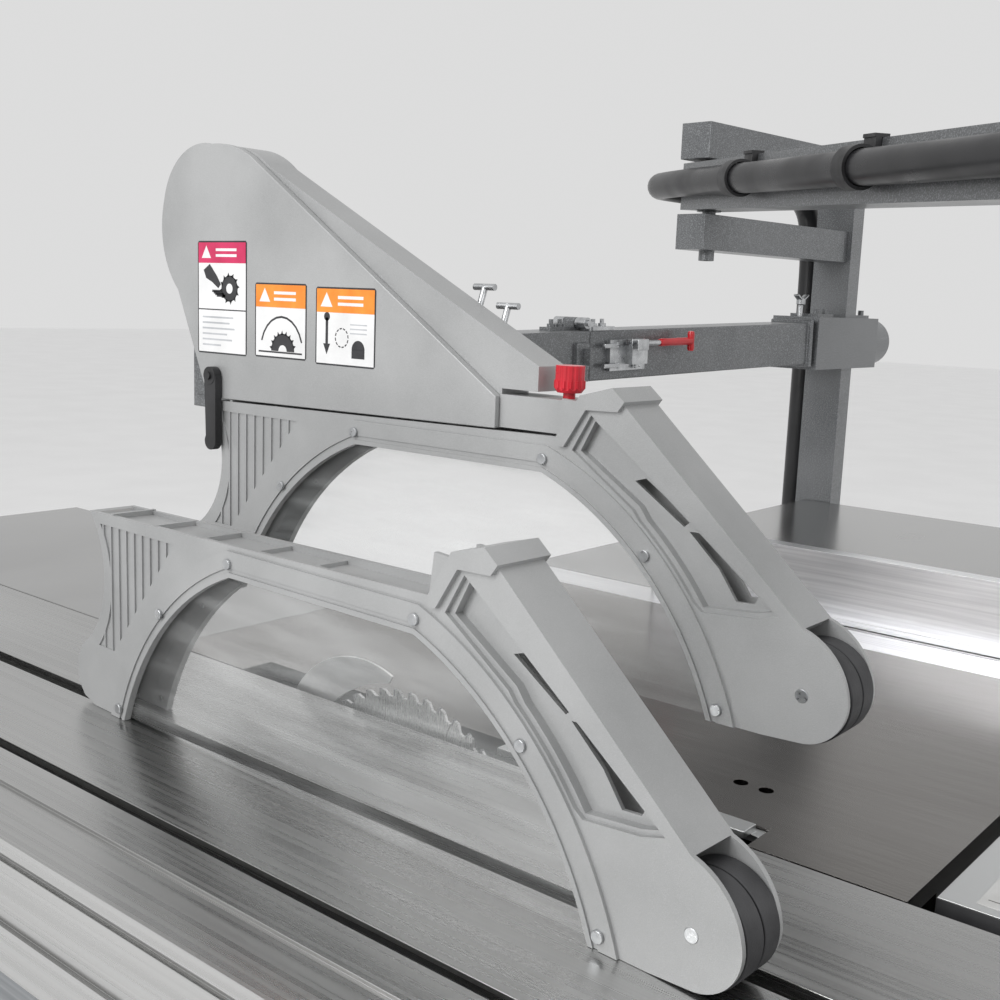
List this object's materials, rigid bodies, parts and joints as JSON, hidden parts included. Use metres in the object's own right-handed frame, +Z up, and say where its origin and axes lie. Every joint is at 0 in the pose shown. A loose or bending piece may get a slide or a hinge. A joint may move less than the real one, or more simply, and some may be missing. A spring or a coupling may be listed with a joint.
{
  "type": "panel saw",
  "caption": "Sliding table saw for sheet material, with an overarm blade guard and dust hood, a swinging control boom, rip fence, extension tables and a tilting saw unit.",
  "frame": {"origin": "on the floor, under the middle of the main saw blade", "axes": "+Z up, +Y along the feed from the operator's end, +X towards the rip fence"},
  "size_m": [2.27, 3.2, 1.584],
  "materials": {
    "cabinet_paint": "textured",
    "ground_iron": "ground",
    "anodised_aluminium": "satin",
    "brushed_strip": "brushed",
    "polished_sheet": "rolled",
    "frame_paint": "hammertone",
    "chromed_bar": "polished",
    "beam_aluminium": "anodised",
    "zinc_steel": "zinc plated",
    "black_conduit": "satin",
    "slide_aluminium": "brushed",
    "black_plastic": "moulded",
    "cast_paint": "fine silver",
    "red_plastic": "moulded",
    "red_grip": "dipped",
    "green_button": "moulded",
    "red_button": "moulded",
    "fence_aluminium": "satin",
    "cast_carriage": "painted",
    "blade_steel": "ground",
    "knife_steel": "polished",
    "motor_paint": "satin",
    "belt_rubber": "matte",
    "turned_steel": "turned",
    "clear_pane": "clear",
    "roller_rubber": "matte"
  },
  "bodies": {
    "base": {"base_cabinet": "cabinet_paint", "main_table": "ground_iron", "table_insert": "anodised_aluminium", "joint_strip": "brushed_strip", "extension_table": "polished_sheet", "outfeed_table": "polished_sheet", "table_frames": "frame_paint", "fence_rail": "anodised_aluminium", "fence_bar": "chromed_bar", "bar_brackets": "frame_paint", "slide_beam": "beam_aluminium", "column": "frame_paint", "arm_clamp": "frame_paint", "outer_arm": "frame_paint", "hinge_pin_leaf": "zinc_steel", "toggle_base": "zinc_steel", "boom_fork": "frame_paint", "column_hose": "black_conduit"},
    "door": {"cabinet_door": "cabinet_paint"},
    "slide": {"slide_table": "slide_aluminium", "slide_end_caps": "black_plastic", "push_handle": "black_plastic"},
    "spare_guard": {"spare_left_half": "cast_paint", "spare_right_half": "cast_paint", "spare_windows": "clear_pane", "spare_screws": "zinc_steel"},
    "spare_wheel": {"spare_roller": "roller_rubber"},
    "swing_arm": {"inner_arm": "frame_paint"},
    "hood": {"hood_left_cover": "cast_paint", "hood_body": "cast_paint", "hood_bracket": "frame_paint", "hood_bolts": "zinc_steel", "guard_left_half": "cast_paint", "guard_right_half": "cast_paint", "guard_windows": "clear_pane", "guard_screws": "zinc_steel"},
    "guard_wheel": {"guard_roller": "roller_rubber"},
    "knob": {"guard_knob": "red_plastic"},
    "clamp_lever": {"hood_lever": "black_plastic"},
    "toggle": {"toggle_lever": "red_grip"},
    "boom": {"boom": "frame_paint", "boom_hose": "black_conduit", "hose_clips": "black_plastic", "pendant_box": "cabinet_paint"},
    "start": {"start_button": "green_button"},
    "stop": {"stop_button": "red_button"},
    "fence": {"rip_fence": "fence_aluminium", "fence_carriage": "cast_carriage"},
    "fence_handle": {"fence_lever": "black_plastic"},
    "tilt_unit": {"tilt_frame": "cast_carriage"},
    "scorer": {"scoring_blade": "blade_steel"},
    "saw_unit": {"saw_carriage": "cast_carriage", "motor": "motor_paint", "riving_knife": "knife_steel", "drive_belt": "belt_rubber"},
    "blade": {"saw_blade": "blade_steel", "arbor": "turned_steel"},
    "motor_drive": {"motor_pulley": "turned_steel"},
    "rise_handwheel": {"rise_wheel": "black_plastic"},
    "tilt_handwheel": {"tilt_wheel": "black_plastic"}
  },
  "joints": [
    {"name": "door_hinge", "type": "hinge", "parent": "base", "child": "door", "pos_m": [0.584, 0.2175, 0.4], "axis": [0, 0, 1], "range_deg": [0, 110]},
    {"name": "slide_travel", "type": "slide", "parent": "base", "child": "slide", "axis": [0, 1, 0], "range_m": [-1.3, 1.3]},
    {"name": "spare_guard_lift", "type": "slide", "parent": "slide", "child": "spare_guard", "axis": [0, 0, 1], "range_m": [0, 0.3]},
    {"name": "spare_roller_spin", "type": "hinge", "parent": "spare_guard", "child": "spare_wheel", "pos_m": [-0.185, -0.431, 0.8963], "axis": [0.999, -0.0436, 0], "continuous": true},
    {"name": "arm_fold", "type": "hinge", "parent": "base", "child": "swing_arm", "pos_m": [0.78751, 0.41143, 1.22693], "axis": [0.0915, 0.9958, 0], "range_deg": [0, 90]},
    {"name": "hood_height", "type": "slide", "parent": "swing_arm", "child": "hood", "axis": [0, 0, 1], "range_m": [-0.09, 0.02]},
    {"name": "guard_roller_spin", "type": "hinge", "parent": "hood", "child": "guard_wheel", "pos_m": [0, -0.402, 0.992], "axis": [1, 0, 0], "continuous": true},
    {"name": "knob_turn", "type": "hinge", "parent": "hood", "child": "knob", "pos_m": [0, -0.17, 1.19], "axis": [0, 0, 1], "continuous": true},
    {"name": "clamp_lever_turn", "type": "hinge", "parent": "hood", "child": "clamp_lever", "pos_m": [-0.03, 0.262, 1.172], "axis": [1, 0, 0], "range_deg": [0, 90]},
    {"name": "toggle_turn", "type": "hinge", "parent": "base", "child": "toggle", "pos_m": [0.88364, 0.34736, 1.1781], "axis": [-0.0313, 0.0029, 0.9995], "range_deg": [-95, 0]},
    {"name": "boom_swing", "type": "hinge", "parent": "base", "child": "boom", "pos_m": [1.162, 0.392, 1.48], "axis": [0, 0, 1], "range_deg": [-25, 60]},
    {"name": "start_press", "type": "slide", "parent": "boom", "child": "start", "axis": [0.6018, 0.7986, 0], "range_m": [0, 0.004], "stiffness_N_per_m": 500},
    {"name": "stop_press", "type": "slide", "parent": "boom", "child": "stop", "axis": [0.6018, 0.7986, 0], "range_m": [0, 0.004], "stiffness_N_per_m": 500},
    {"name": "fence_travel", "type": "slide", "parent": "base", "child": "fence", "axis": [1, 0, 0], "range_m": [-0.6, 0.8]},
    {"name": "fence_lever_turn", "type": "hinge", "parent": "fence", "child": "fence_handle", "pos_m": [0.7, -0.668, 0.806], "axis": [0, 1, 0], "range_deg": [0, 60]},
    {"name": "saw_tilt", "type": "hinge", "parent": "base", "child": "tilt_unit", "pos_m": [0, 0, 0.86], "axis": [0, -1, 0], "range_deg": [0, 45]},
    {"name": "saw_rise", "type": "slide", "parent": "tilt_unit", "child": "saw_unit", "axis": [0, 0, 1], "range_m": [-0.04, 0.027]},
    {"name": "blade_spin", "type": "hinge", "parent": "saw_unit", "child": "blade", "pos_m": [0, 0, 0.741], "axis": [1, 0, 0], "continuous": true},
    {"name": "motor_spin", "type": "hinge", "parent": "saw_unit", "child": "motor_drive", "pos_m": [0.043, 0.02, 0.46], "axis": [1, 0, 0], "continuous": true},
    {"name": "scorer_spin", "type": "hinge", "parent": "tilt_unit", "child": "scorer", "pos_m": [0, -0.232, 0.79], "axis": [1, 0, 0], "continuous": true},
    {"name": "rise_wheel_turn", "type": "hinge", "parent": "base", "child": "rise_handwheel", "pos_m": [0.3, -0.534, 0.61], "axis": [0, 1, 0], "range_deg": [-330, 225]},
    {"name": "tilt_wheel_turn", "type": "hinge", "parent": "base", "child": "tilt_handwheel", "pos_m": [0.15, -0.534, 0.46], "axis": [0, 1, 0], "range_deg": [-5, 725]}
  ],
  "couplings": [
    {"joint": "motor_spin", "follows": "blade_spin", "ratio": 0.55556},
    {"joint": "rise_wheel_turn", "follows": "saw_rise", "rad_per_m": 140},
    {"joint": "tilt_wheel_turn", "follows": "saw_tilt", "ratio": 16}
  ]
}
